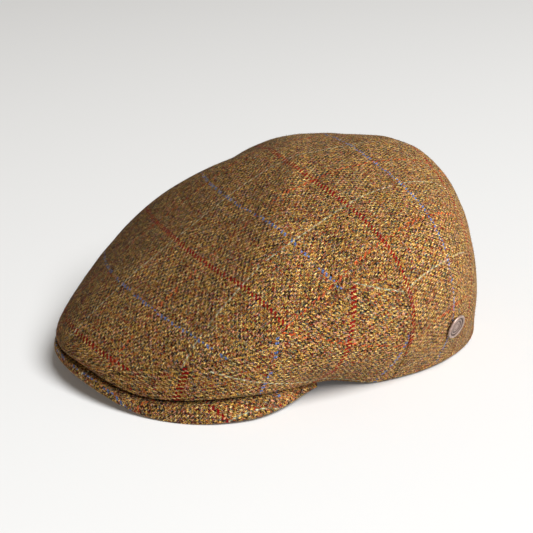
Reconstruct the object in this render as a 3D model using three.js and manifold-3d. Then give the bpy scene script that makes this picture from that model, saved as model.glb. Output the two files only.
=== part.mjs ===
import * as THREE from "three";
import Module from "manifold-3d";
import { mergeVertices } from "three/addons/utils/BufferGeometryUtils.js";

// Named sizes in millimetres: front of the cap toward -Y, wearer's left toward +X.
const frontReach = 146;
const crownRise = 107.5;
const topPointY = 6.4;
const wall = 2.4;
const seamGap = 0.35;
const headHalfWidth = 80;
const headHalfLength = 100;
const peakThickness = 4.4;
const peakGap = 0.45;
const peakLap = 3.6;
const seatWidth = 9;
const temple = 67.5;

// Upright sections of the crown round its top point, front = 0 degrees, back = 180, both sides alike.
// edge and full are shares of frontReach, lift and fullLift of crownRise:
// where the rim stands, and where the cloth bulges widest above it.
// side and top say how full the cloth runs up from the bulge and over the top.
const SECTIONS = [
  { angle: 0, edge: 1, lift: 0.172, full: 1.012, fullLift: 0.18, side: 0.14, top: 0.22 },
  { angle: 25, edge: 0.94, lift: 0.095, full: 0.93, fullLift: 0.186, side: 0.22, top: 0.28 },
  { angle: 50, edge: 0.825, lift: 0.127, full: 0.85, fullLift: 0.28, side: 0.38, top: 0.37 },
  { angle: 70, edge: 0.563, lift: 0.046, full: 0.764, fullLift: 0.327, side: 0.42, top: 0.43 },
  { angle: 90, edge: 0.568, lift: 0, full: 0.72, fullLift: 0.368, side: 0.63, top: 0.49 },
  { angle: 120, edge: 0.615, lift: 0, full: 0.708, fullLift: 0.376, side: 0.81, top: 0.53 },
  { angle: 150, edge: 0.655, lift: 0, full: 0.65, fullLift: 0.31, side: 1, top: 0.53 },
  { angle: 180, edge: 0.625, lift: 0, full: 0.63, fullLift: 0.35, side: 1.12, top: 0.53 },
];

// The seam between the top panel and each side panel, seen from the side, front to back:
// along is a share of frontReach from the top point, up a share of crownRise.
const SEAM = [
  { along: -0.975, up: 0.07 },
  { along: -0.93, up: 0.165 },
  { along: -0.82, up: 0.24 },
  { along: -0.71, up: 0.285 },
  { along: -0.6, up: 0.335 },
  { along: -0.4, up: 0.455 },
  { along: -0.16, up: 0.595 },
  { along: -0.04, up: 0.625 },
  { along: 0.04, up: 0.575 },
  { along: 0.065, up: 0.43 },
  { along: 0.065, up: 0.2 },
  { along: 0.065, up: -0.05 },
];

// The peak round the front: beyond is how far it shows past the crown's edge, a share of frontReach,
// under the height of its lower edge and brow that of its inner edge, shares of crownRise.
const PEAK = [
  { angle: 0, beyond: 0.016, under: 0.1, brow: 0.22 },
  { angle: 14, beyond: 0.017, under: 0.068, brow: 0.195 },
  { angle: 28, beyond: 0.02, under: 0.004, brow: 0.165 },
  { angle: 50, beyond: 0.006, under: 0.014, brow: 0.135 },
  { angle: 67.5, beyond: 0.002, under: 0.035, brow: 0.06 },
];

// Badge on the wearer's left rear, by its place on the crown's sections.
const badge = {
  angle: 114.7,
  t: 0.222,
  radius: 6.9,
  rimHeight: 1.9,
  postRadius: 1.6,
  flangeRadius: 4,
  flangeThickness: 1,
  gap: 0.8,
};

// Value of one column of a table at x, by a smooth curve that is level at both ends.
function column(rows, key, name, x) {
  const last = rows.length - 1;
  let i = 0;
  while (i < last - 1 && x >= rows[i + 1][key]) {
    i += 1;
  }
  const slope = (k) => {
    if (k === 0 || k === last) {
      return 0;
    }
    return (rows[k + 1][name] - rows[k - 1][name]) / (rows[k + 1][key] - rows[k - 1][key]);
  };
  const span = rows[i + 1][key] - rows[i][key];
  const t = (x - rows[i][key]) / span;
  const a = 2 * t ** 3 - 3 * t ** 2 + 1;
  const b = t ** 3 - 2 * t ** 2 + t;
  const c = t ** 3 - t ** 2;
  return a * rows[i][name] + b * span * slope(i) + (1 - a) * rows[i + 1][name] + c * span * slope(i + 1);
}

function bezier(a, b, c, d, t) {
  const s = 1 - t;
  return s ** 3 * a + 3 * s * s * t * b + 3 * s * t * t * c + t ** 3 * d;
}

// Point of the crown's outer face: t runs from 0 at the rim to 1 at the top point.
const lowShare = 0.3;
function crownPoint(angle, t) {
  const at = (name) => column(SECTIONS, "angle", name, Math.abs(angle));
  const edge = at("edge") * frontReach;
  const lift = Math.max(0, at("lift")) * crownRise;
  const full = at("full") * frontReach;
  const fullLift = at("fullLift") * crownRise;
  let reach;
  let height;
  if (t < lowShare) {
    const u = t / lowShare;
    const rise = fullLift - lift;
    const swell = full - edge;
    reach = bezier(edge, edge + 0.42 * swell, edge + 0.95 * swell, full, u);
    height = bezier(lift, lift + 0.33 * rise, fullLift - 0.42 * rise, fullLift, u);
  } else {
    const u = (t - lowShare) / (1 - lowShare);
    reach = bezier(full, full, full * at("top"), 0, u);
    height = bezier(fullLift, fullLift + at("side") * (crownRise - fullLift), crownRise, crownRise, u);
  }
  const turn = THREE.MathUtils.degToRad(angle);
  return new THREE.Vector3(reach * Math.sin(turn), topPointY - reach * Math.cos(turn), height);
}

function crownNormal(angle, t) {
  const step = 0.004;
  const low = Math.max(0, t - step);
  const high = Math.min(0.985, t + step);
  const across = crownPoint(angle + 0.5, t).sub(crownPoint(angle - 0.5, t));
  const up = crownPoint(angle, high).sub(crownPoint(angle, low));
  return across.cross(up).normalize();
}

// Height of the rim in the plan direction of a point.
function rimHeight(point) {
  const turn = Math.atan2(Math.abs(point.x), topPointY - point.y);
  return Math.max(0, column(SECTIONS, "angle", "lift", THREE.MathUtils.radToDeg(turn))) * crownRise;
}

function meshGeometry(points, triangles) {
  const geometry = new THREE.BufferGeometry();
  const flat = points.flatMap((p) => [p.x, p.y, p.z]);
  geometry.setAttribute("position", new THREE.Float32BufferAttribute(flat, 3));
  geometry.setIndex(triangles);
  return geometry;
}

// The whole crown as one closed shell, open below.
function crownShell() {
  const around = 72;
  const up = 21;
  const points = [];
  const triangles = [];
  const angleOf = (i) => -180 + (360 * i) / around;
  for (let i = 0; i < around; i += 1) {
    for (let j = 0; j < up; j += 1) {
      points.push(crownPoint(angleOf(i), j / up));
    }
  }
  for (let i = 0; i < around; i += 1) {
    for (let j = 0; j < up; j += 1) {
      const t = j / up;
      const inward = crownNormal(angleOf(i), t).negate();
      if (j === 0) {
        inward.setZ(0).normalize();
      }
      const inside = crownPoint(angleOf(i), t).addScaledVector(inward, wall);
      if (j === 0) {
        inside.setZ(rimHeight(inside));
      }
      points.push(inside);
    }
  }
  const outerTop = points.length;
  points.push(crownPoint(0, 1));
  points.push(crownPoint(0, 1).add(new THREE.Vector3(0, 0, -wall)));
  const inner = around * up;
  const id = (i, j) => (i % around) * up + j;
  for (let i = 0; i < around; i += 1) {
    for (let j = 0; j < up - 1; j += 1) {
      const a = id(i, j);
      const b = id(i + 1, j);
      const c = id(i + 1, j + 1);
      const d = id(i, j + 1);
      triangles.push(a, b, c, a, c, d);
      triangles.push(inner + a, inner + c, inner + b, inner + a, inner + d, inner + c);
    }
    const a = id(i, up - 1);
    const b = id(i + 1, up - 1);
    triangles.push(a, b, outerTop);
    triangles.push(inner + a, outerTop + 1, inner + b);
    const e = id(i, 0);
    const f = id(i + 1, 0);
    triangles.push(e, inner + e, inner + f, e, inner + f, f);
  }
  return meshGeometry(points, triangles);
}

// Solid that covers one side panel: the seam's outline seen from the side, drawn in by inset.
function sidePrism(side, inset) {
  const curve = new THREE.SplineCurve(
    SEAM.map((row) => new THREE.Vector2(topPointY + row.along * frontReach, row.up * crownRise)),
  );
  const outline = [];
  const count = 44;
  for (let i = 0; i <= count; i += 1) {
    const tangent = curve.getTangent(i / count);
    const inner = new THREE.Vector2(tangent.y, -tangent.x).multiplyScalar(inset);
    outline.push(curve.getPoint(i / count).add(inner));
  }
  const shape = new THREE.Shape();
  shape.moveTo(outline[0].x, -8);
  outline.forEach((p) => shape.lineTo(p.x, p.y));
  shape.lineTo(outline[count].x, -8);
  const geometry = new THREE.ExtrudeGeometry(shape, { depth: 140, bevelEnabled: false, steps: 1 });
  geometry.translate(0, 0, side > 0 ? 20 : -160);
  geometry.applyMatrix4(
    new THREE.Matrix4().makeBasis(
      new THREE.Vector3(0, 1, 0),
      new THREE.Vector3(0, 0, 1),
      new THREE.Vector3(1, 0, 0),
    ),
  );
  return geometry;
}

// Distance from the top point, in plan, to the front of the head opening.
function browReach(angle) {
  const turn = THREE.MathUtils.degToRad(angle);
  const dx = Math.sin(turn) / headHalfWidth;
  const dy = -Math.cos(turn) / headHalfLength;
  const start = topPointY / headHalfLength;
  const a = dx * dx + dy * dy;
  const b = 2 * start * dy;
  const c = start * start - 1;
  return (-b + Math.sqrt(b * b - 4 * a * c)) / (2 * a);
}

// One cut through the peak: over the top from the brow to the outer edge, and back underneath.
function peakSection(angle) {
  const turn = Math.abs(angle);
  const at = (name) => column(PEAK, "angle", name, turn);
  const crownEdge = column(SECTIONS, "angle", "edge", turn) * frontReach;
  const seat = Math.max(0, column(SECTIONS, "angle", "lift", turn)) * crownRise - peakGap;
  const outer = crownEdge + at("beyond") * frontReach;
  const inner = Math.min(browReach(turn), crownEdge - peakLap);
  const under = Math.max(0, at("under")) * crownRise;
  const lip = Math.min(peakThickness, seat - under);
  const outerTop = Math.min(seat, under + lip);
  const seatStart = Math.max(inner + 0.8, crownEdge - seatWidth);
  const room = Math.min(1, (seatStart - inner - 0.8) / 14);
  const brow = seat + room * Math.max(at("brow") * crownRise - seat, 0);
  const path = [];
  const seatShare = [0, 0.2, 0.4, 0.6, 0.8, 1];
  seatShare.forEach((share) => {
    const reach = inner + share * (seatStart - inner);
    path.push([reach, seat + (brow - seat) * (1 - share) ** 1.6]);
  });
  const step = outer - crownEdge;
  path.push([crownEdge + 0.25 * step, seat - 0.12 * (seat - outerTop)]);
  path.push([crownEdge + 0.68 * step, outerTop + 0.4 * (seat - outerTop)]);
  path.push([outer - 0.06 * lip, outerTop - 0.25 * lip]);
  path.push([outer, under + 0.4 * lip]);
  path.push([outer - 0.18 * lip, under]);
  path.push([outer - 0.7 * lip, under]);
  const wallBack = Math.max(inner + 0.8, Math.min(outer - lip, seatStart));
  path.push([wallBack, Math.min(under + 0.35 * lip, seat - lip)]);
  const bend = Math.max(inner + 0.6, wallBack - 1.5);
  path.push([bend, Math.max(under + 0.35 * lip, seat - 1.15 * lip)]);
  const shares = [0.35, 0.7, 1];
  shares.forEach((share) => {
    const reach = bend + share * (inner + 0.1 - bend);
    const near = Math.max(0, (seatStart - reach) / (seatStart - inner));
    path.push([reach, Math.max(under + 0.35 * lip, seat - lip + (brow - seat) * near ** 1.6)]);
  });
  const turned = THREE.MathUtils.degToRad(angle);
  return path.map(
    ([reach, height]) =>
      new THREE.Vector3(reach * Math.sin(turned), topPointY - reach * Math.cos(turned), height),
  );
}

function peakSolid() {
  const steps = 54;
  const sections = [];
  for (let i = 0; i <= steps; i += 1) {
    sections.push(peakSection(-temple + (2 * temple * i) / steps));
  }
  const size = sections[0].length;
  const points = sections.flat();
  const triangles = [];
  for (let i = 0; i < steps; i += 1) {
    for (let j = 0; j < size; j += 1) {
      const k = (j + 1) % size;
      const a = i * size + j;
      const b = i * size + k;
      const c = (i + 1) * size + k;
      const d = (i + 1) * size + j;
      triangles.push(a, b, c, a, c, d);
    }
  }
  [0, steps].forEach((i) => {
    const middle = sections[i].reduce((sum, p) => sum.add(p), new THREE.Vector3());
    points.push(middle.multiplyScalar(1 / size));
    const centre = points.length - 1;
    for (let j = 0; j < size; j += 1) {
      const a = i * size + j;
      const b = i * size + ((j + 1) % size);
      if (i === 0) {
        triangles.push(centre, b, a);
      } else {
        triangles.push(centre, a, b);
      }
    }
  });
  return meshGeometry(points, triangles);
}

// Matrix that stands +Z along the wall's outward direction at the badge.
function badgePlace() {
  const axis = crownNormal(badge.angle, badge.t);
  const point = crownPoint(badge.angle, badge.t);
  const turn = new THREE.Quaternion().setFromUnitVectors(new THREE.Vector3(0, 0, 1), axis);
  return new THREE.Matrix4().compose(point, turn, new THREE.Vector3(1, 1, 1));
}

function turned(profile, segments) {
  const geometry = new THREE.LatheGeometry(
    profile.map(([r, h]) => new THREE.Vector2(r, h)),
    segments,
  );
  geometry.rotateX(Math.PI / 2);
  return geometry;
}

// Disc with a raised rim and one plain ring, its post through the wall, and a flange behind.
function badgeBody() {
  const r = badge.radius;
  const back = badge.gap;
  const front = back + badge.rimHeight;
  const behind = -wall - badge.gap;
  const profile = [
    [0, behind - badge.flangeThickness],
    [badge.flangeRadius, behind - badge.flangeThickness],
    [badge.flangeRadius, behind],
    [badge.postRadius, behind],
    [badge.postRadius, back],
    [r - 0.5, back],
    [r, back + 0.6],
    [r, front - 0.5],
    [r - 0.5, front],
    [r - 1.2, front],
    [r - 1.7, front - 0.7],
    [r * 0.62, front - 0.7],
    [r * 0.58, front - 0.35],
    [r * 0.48, front - 0.35],
    [r * 0.44, front - 0.7],
    [0, front - 0.7],
  ];
  return turned(profile, 32).applyMatrix4(badgePlace());
}

function postHole() {
  const hole = badge.postRadius + 0.35;
  const profile = [
    [0, -12],
    [hole, -12],
    [hole, 8],
    [0, 8],
  ];
  return turned(profile, 24).applyMatrix4(badgePlace());
}

const wasm = await Module();
wasm.setup();

function solid(geometry) {
  const bare = new THREE.BufferGeometry();
  bare.setAttribute("position", geometry.getAttribute("position"));
  bare.setIndex(geometry.getIndex());
  const merged = mergeVertices(bare, 1e-4);
  const mesh = new wasm.Mesh({
    numProp: 3,
    vertProperties: new Float32Array(merged.getAttribute("position").array),
    triVerts: new Uint32Array(merged.getIndex().array),
  });
  return new wasm.Manifold(mesh);
}

// The largest single body of a cut, as a geometry.
function largest(body) {
  const parts = body.decompose();
  parts.sort((a, b) => b.volume() - a.volume());
  const mesh = parts[0].getMesh();
  const geometry = new THREE.BufferGeometry();
  geometry.setAttribute("position", new THREE.BufferAttribute(new Float32Array(mesh.vertProperties), 3));
  geometry.setIndex(Array.from(mesh.triVerts));
  return geometry;
}

const shell = solid(crownShell());
const leftWide = solid(sidePrism(1, 0));
const rightWide = solid(sidePrism(-1, 0));
const leftCut = solid(sidePrism(1, seamGap));
const rightCut = solid(sidePrism(-1, seamGap));

const pieces = {
  top_panel: largest(shell.subtract(leftWide).subtract(rightWide).subtract(solid(postHole()))),
  side_panel_left: largest(shell.intersect(leftCut)),
  side_panel_right: largest(shell.intersect(rightCut)),
  peak: largest(solid(peakSolid())),
  badge: largest(solid(badgeBody())),
};

const colours = {
  top_panel: 0x7a5c38,
  side_panel_left: 0x7a5c38,
  side_panel_right: 0x7a5c38,
  peak: 0x6f5334,
  badge: 0x6d6560,
};

// The frame's origin is the middle of the footprint on the table.
const box = new THREE.Box3();
Object.values(pieces).forEach((geometry) => {
  geometry.computeBoundingBox();
  box.union(geometry.boundingBox);
});
const middle = box.getCenter(new THREE.Vector3());

const cap = new THREE.Group();
cap.name = "flat_cap";
Object.entries(pieces).forEach(([name, geometry]) => {
  geometry.translate(-middle.x, -middle.y, -box.min.z);
  const metal = name === "badge";
  const material = new THREE.MeshStandardMaterial({
    color: colours[name],
    roughness: metal ? 0.45 : 0.95,
    metalness: metal ? 0.9 : 0,
  });
  const mesh = new THREE.Mesh(geometry, material);
  mesh.name = name;
  cap.add(mesh);
});

export default cap;
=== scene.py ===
import math

import bpy
import numpy as np
from mathutils import Matrix, Vector


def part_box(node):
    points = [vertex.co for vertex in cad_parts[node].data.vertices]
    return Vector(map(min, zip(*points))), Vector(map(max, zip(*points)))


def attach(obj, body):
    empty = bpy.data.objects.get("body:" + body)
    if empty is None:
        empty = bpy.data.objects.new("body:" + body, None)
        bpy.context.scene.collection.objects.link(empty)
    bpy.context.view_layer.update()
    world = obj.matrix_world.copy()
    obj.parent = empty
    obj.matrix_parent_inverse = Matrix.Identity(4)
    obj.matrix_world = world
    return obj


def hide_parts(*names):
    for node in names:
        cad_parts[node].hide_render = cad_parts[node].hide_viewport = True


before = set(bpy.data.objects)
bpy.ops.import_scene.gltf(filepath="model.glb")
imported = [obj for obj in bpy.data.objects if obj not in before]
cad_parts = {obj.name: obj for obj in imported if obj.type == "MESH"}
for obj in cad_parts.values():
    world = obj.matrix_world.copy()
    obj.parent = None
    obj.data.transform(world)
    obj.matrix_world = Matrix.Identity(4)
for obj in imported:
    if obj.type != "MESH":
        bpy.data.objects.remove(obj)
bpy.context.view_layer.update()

MM = 0.001

# Named sizes in millimetres. The form is the part's own, and the visible cloth is 0.1 mm thinner.
FRONT_REACH = 146.0
CROWN_RISE = 107.5
TOP_Y = 6.4
WALL = 2.3
HEAD_HALF_WIDTH = 80.0
HEAD_HALF_LENGTH = 100.0
PEAK_THICKNESS = 4.4
PEAK_GAP = 0.45
PEAK_LAP = 3.6
SEAT_WIDTH = 9.0
TEMPLE = 67.5

# A section's lower curve takes this share of its length. Its bow follows, outward and then upward.
LOW_SHARE = 0.3
BOW_OUT_LOW = 0.42
BOW_OUT_HIGH = 0.95
BOW_UP_LOW = 0.33
BOW_UP_HIGH = 0.42

# The crown's upright sections by angle from the front, as shares of the front reach and of the rise.
SECTIONS = {
    "angle": [0, 25, 50, 70, 90, 120, 150, 180],
    "edge": [1.0, 0.94, 0.825, 0.563, 0.568, 0.615, 0.655, 0.625],
    "lift": [0.172, 0.095, 0.127, 0.046, 0.0, 0.0, 0.0, 0.0],
    "full": [1.012, 0.93, 0.85, 0.764, 0.72, 0.708, 0.65, 0.63],
    "full_lift": [0.18, 0.186, 0.28, 0.327, 0.368, 0.376, 0.31, 0.35],
    "side": [0.14, 0.22, 0.38, 0.42, 0.63, 0.81, 1.0, 1.12],
    "top": [0.22, 0.28, 0.37, 0.43, 0.49, 0.53, 0.53, 0.53],
}
# The seam in the side view from its front end to below the rim, in the same shares.
SEAM = {
    "along": [-0.975, -0.93, -0.82, -0.71, -0.6, -0.4, -0.16, -0.04, 0.04, 0.065, 0.065, 0.065],
    "up": [0.07, 0.165, 0.24, 0.285, 0.335, 0.455, 0.595, 0.625, 0.575, 0.43, 0.2, -0.05],
}
# The peak by angle from the front: how far it stands out, its underside and its brow line.
PEAK = {
    "angle": [0, 14, 28, 50, 67.5],
    "beyond": [0.016, 0.017, 0.02, 0.006, 0.002],
    "under": [0.1, 0.068, 0.004, 0.014, 0.035],
    "brow": [0.22, 0.195, 0.165, 0.135, 0.06],
}
# The badge's place on the crown, then its millimetres. It stands a little lower than the part's.
BADGE = {
    "angle": 114.7,
    "t": 0.222,
    "radius": 6.9,
    "height": 1.5,
    "post": 1.6,
    "flange": 4.0,
    "flange_thickness": 1.0,
    "gap": 0.6,
}


def column(table, name, x):
    """A table's column at x, by a smooth curve that is level at both ends."""
    xs = np.asarray(table["angle"], float)
    ys = np.asarray(table[name], float)
    slopes = np.zeros(len(xs))
    slopes[1:-1] = (ys[2:] - ys[:-2]) / (xs[2:] - xs[:-2])
    i = np.clip(np.searchsorted(xs, x, side="right") - 1, 0, len(xs) - 2)
    span = xs[i + 1] - xs[i]
    t = (x - xs[i]) / span
    a = 2 * t**3 - 3 * t**2 + 1
    b = t**3 - 2 * t**2 + t
    c = t**3 - t**2
    return a * ys[i] + b * span * slopes[i] + (1 - a) * ys[i + 1] + c * span * slopes[i + 1]


def bezier(a, b, c, d, t):
    """A cubic curve from a to d with b and c as its handles."""
    s = 1 - t
    return s**3 * a + 3 * s * s * t * b + 3 * s * t * t * c + t**3 * d


def crown(angle, t):
    """Points of the crown's outer face in the part's own millimetres; t is 0 at the rim, 1 at the top."""
    turn = np.abs(angle)
    edge = column(SECTIONS, "edge", turn) * FRONT_REACH
    lift = np.maximum(0, column(SECTIONS, "lift", turn)) * CROWN_RISE
    full = column(SECTIONS, "full", turn) * FRONT_REACH
    full_lift = column(SECTIONS, "full_lift", turn) * CROWN_RISE
    u = np.clip(t / LOW_SHARE, 0, 1)
    rise = full_lift - lift
    swell = full - edge
    low_reach = bezier(edge, edge + BOW_OUT_LOW * swell, edge + BOW_OUT_HIGH * swell, full, u)
    low_height = bezier(lift, lift + BOW_UP_LOW * rise, full_lift - BOW_UP_HIGH * rise, full_lift, u)
    w = np.clip((t - LOW_SHARE) / (1 - LOW_SHARE), 0, 1)
    high_reach = bezier(full, full, full * column(SECTIONS, "top", turn), 0, w)
    side = full_lift + column(SECTIONS, "side", turn) * (CROWN_RISE - full_lift)
    high_height = bezier(full_lift, side, CROWN_RISE, CROWN_RISE, w)
    reach = np.where(t < LOW_SHARE, low_reach, high_reach)
    height = np.where(t < LOW_SHARE, low_height, high_height)
    a = np.radians(angle)
    return np.stack([reach * np.sin(a), TOP_Y - reach * np.cos(a), height], -1)


# Small steps for the normals, and the highest point that they use.
STEP_ANGLE = 0.4
STEP_T = 0.004
LAST_T = 0.99


def crown_normal(angle, t):
    """Unit normals of the crown, from the points just beside each point."""
    low = np.maximum(0, t - STEP_T)
    high = np.minimum(LAST_T, t + STEP_T)
    low = np.minimum(low, high - STEP_T)
    across = crown(angle + STEP_ANGLE, t) - crown(angle - STEP_ANGLE, t)
    up = crown(angle, high) - crown(angle, low)
    n = np.cross(across, up)
    return n / np.linalg.norm(n, axis=-1, keepdims=True)


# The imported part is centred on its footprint: this is how far it moved along Y.
around = np.arange(0, 360, 5.0) - 180
rim_back = crown(around, np.zeros(len(around)))[:, 1].max()
belly_back = crown(around, np.full(len(around), LOW_SHARE))[:, 1].max()
SHIFT_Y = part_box("top_panel")[1].y / MM - max(rim_back, belly_back)


def to_frame(points):
    """Part millimetres to metres in the frame."""
    return (np.asarray(points, float) + [0, SHIFT_Y, 0]) * MM


def spline_points(count):
    """Points of the seam seen from the side, on a smooth curve through its table."""
    pts = np.stack([TOP_Y + np.array(SEAM["along"]) * FRONT_REACH, np.array(SEAM["up"]) * CROWN_RISE], -1)
    n = len(pts)
    u = np.linspace(0, n - 1, count)
    i = np.minimum(u.astype(int), n - 2)
    t = (u - i)[:, None]
    p0 = pts[np.maximum(i - 1, 0)]
    p1 = pts[i]
    p2 = pts[i + 1]
    p3 = pts[np.minimum(i + 2, n - 1)]
    v0 = (p2 - p0) / 2
    v1 = (p3 - p1) / 2
    return (2 * p1 - 2 * p2 + v0 + v1) * t**3 + (-3 * p1 + 3 * p2 - 2 * v0 - v1) * t**2 + v0 * t + p1


SEAM_LINE = spline_points(420)
# Points nearer to the middle than this have no seam beside them, and get this distance.
NO_SEAM_X = 20
NO_SEAM_DISTANCE = 30.0
# How many points are measured at a time.
BATCH = 20000


def seam_distance(points):
    """Signed distance from the seam in the side view, negative inside the side panel, and its gradient."""
    p = points[:, 1:3]
    a = SEAM_LINE[:-1]
    d = SEAM_LINE[1:] - a
    length = np.maximum((d * d).sum(1), 1e-12)
    best = np.zeros(len(p))
    sign = np.ones(len(p))
    gradient = np.zeros((len(p), 2))
    for start in range(0, len(p), BATCH):
        batch = slice(start, start + BATCH)
        q = p[batch]
        rel = q[:, None] - a[None]
        t = np.clip((rel * d).sum(2) / length, 0, 1)
        off = rel - t[..., None] * d
        dist = np.linalg.norm(off, axis=2)
        k = dist.argmin(1)
        row = np.arange(len(q))
        cross = d[k, 0] * rel[row, k, 1] - d[k, 1] * rel[row, k, 0]
        best[batch] = dist[row, k]
        sign[batch] = np.where(cross > 0, 1.0, -1.0)
        side = np.stack([-d[k, 1], d[k, 0]], -1)
        gradient[batch] = side / np.linalg.norm(side, axis=1, keepdims=True)
    middle = np.abs(points[:, 0]) < NO_SEAM_X
    return np.where(middle, NO_SEAM_DISTANCE, best * sign), gradient


def cut(data, tris, value, level, snap):
    """Splits triangles where a value crosses a level. data holds arrays by vertex, value is one's name."""
    d = data[value] - level
    d = np.where(np.abs(d) < snap, 0.0, d)
    data[value] = d + level
    s = np.sign(d)[tris]
    crossing = (s.min(1) < 0) & (s.max(1) > 0)
    keep = tris[~crossing]
    work = tris[crossing]
    sw = s[crossing]
    if not len(work):
        return data, tris
    has_zero = (sw == 0).any(1)
    lone = np.where(sw.sum(1) > 0, sw.argmin(1), sw.argmax(1))
    first = np.where(has_zero, (sw == 0).argmax(1), lone)
    rows = np.arange(len(work))
    a = work[rows, first]
    b = work[rows, (first + 1) % 3]
    c = work[rows, (first + 2) % 3]
    two = ~has_zero
    pairs = [np.stack([a, b], 1)[two], np.stack([a, c], 1)[two], np.stack([b, c], 1)[has_zero]]
    ordered = np.sort(np.concatenate(pairs), 1)
    unique, inverse = np.unique(ordered, axis=0, return_inverse=True)
    inverse = inverse.reshape(-1)
    d0 = d[unique[:, 0]]
    d1 = d[unique[:, 1]]
    w = d0 / (d0 - d1)
    base = len(d)
    for name, values in data.items():
        mix = w.reshape((-1,) + (1,) * (values.ndim - 1))
        added = values[unique[:, 0]] * (1 - mix) + values[unique[:, 1]] * mix
        data[name] = np.concatenate([values, added])
    data[value][base:] = level
    n2 = int(two.sum())
    ab = base + inverse[:n2]
    ac = base + inverse[n2 : 2 * n2]
    bc = base + inverse[2 * n2 :]
    a2, b2, c2 = a[two], b[two], c[two]
    a1, b1, c1 = a[has_zero], b[has_zero], c[has_zero]
    new = [
        np.stack([a2, ab, ac], 1),
        np.stack([ab, b2, c2], 1),
        np.stack([ab, c2, ac], 1),
        np.stack([a1, b1, bc], 1),
        np.stack([a1, bc, c1], 1),
    ]
    return data, np.concatenate([keep] + new)


# Crosswise lines of the check: at a distance along the centre line from the front rim, the line's number.
ROWS = {"along": [-23, 14, 50, 87, 124, 162, 203, 243, 363], "number": [-1, 0, 1, 2, 3, 4, 5, 6, 9]}
# Millimetres between the lengthwise lines, by the same distance.
LINE_GAP = {"along": [0, 20, 60, 100, 124, 166, 200, 232], "gap": [39, 38.5, 35.5, 33, 32, 28.8, 26, 23]}
# How far back a crosswise thread has moved at full width, by y.
LEAN = {"y": [-90, -55, -20, 0, 45, 85], "amount": [17, 18, 24, 25, 14, 0]}
FULL_WIDTH = 96.0
CENTRE_LINE_X = 3.0
# Crosswise threads stand upright between two fan lines, and turn round them at both ends.
FAN_FRONT = -50.0
FAN_BACK = 40.0
FAN_Z = -40.0
# Yarns between two lines of the check: crosswise yarns, then lengthwise yarns on the top and on the sides.
WEFTS = 41
WARPS = 48
SIDE_WARPS = 50
# The side panels' lines: their distances, the cosine and sine of their dip, and the start of the rows.
SIDE_LINE_GAP = 28.5
SIDE_ROW_GAP = 36.0
SIDE_COS = 0.956
SIDE_SIN = 0.292
SIDE_ROW_START = 104.0
# The rows bend forward above a height, more and more behind a place.
SIDE_BEND = {"amount": 0.0033, "above": 30, "behind": 20, "fade": 10}
CENTRE_POINTS = 400
# Fineness of the thread tables: turns round the crown, steps up it, and the highest step.
TURNS = 301
LOW_STEPS = 16
HIGH_STEPS = 70
HIGHEST_T = 0.9995
# From, to and how many: heights under the rim, and tilts.
UNDER_RIM = (-14, -1, 6)
TILT_LEVELS = (0, 76, 153)
MARK_MARGIN = 10
MARK_COUNT = 330
FEWEST_POINTS = 4


def sweep(row, z):
    """A number that grows from front to back: an angle, then a distance, then an angle."""
    front = np.degrees(np.arctan2(FAN_FRONT - row, z - FAN_Z))
    back = np.degrees(np.arctan2(row - FAN_BACK, z - FAN_Z))
    return np.where(row < FAN_FRONT, FAN_FRONT - front, np.where(row > FAN_BACK, FAN_BACK + back, row))


def centre_line():
    """Points of the top panel's centre line from front to back, with their distance along it."""
    t = np.linspace(0, 1, CENTRE_POINTS)
    front = crown(np.zeros(CENTRE_POINTS), t)
    back = crown(np.full(CENTRE_POINTS, 180.0), t[::-1])
    line = np.concatenate([front, back[1:]])
    steps = np.linalg.norm(np.diff(line, axis=0), axis=1)
    return line, np.concatenate([[0], np.cumsum(steps)])


CENTRE, CENTRE_ALONG = centre_line()


def thread_along(points):
    """Distance along the centre line at which the crosswise thread through each point crosses it."""
    y = points[..., 1]
    row = y - np.interp(y, LEAN["y"], LEAN["amount"]) * (points[..., 0] / FULL_WIDTH) ** 2
    return np.interp(sweep(row, points[..., 2]), sweep(CENTRE[:, 1], CENTRE[:, 2]), CENTRE_ALONG)


def tilt_of(points):
    """Angle of a point from upright, about the lengthwise axis under the crown."""
    return np.degrees(np.arctan2(np.abs(points[..., 0]), points[..., 2] - FAN_Z))


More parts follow.
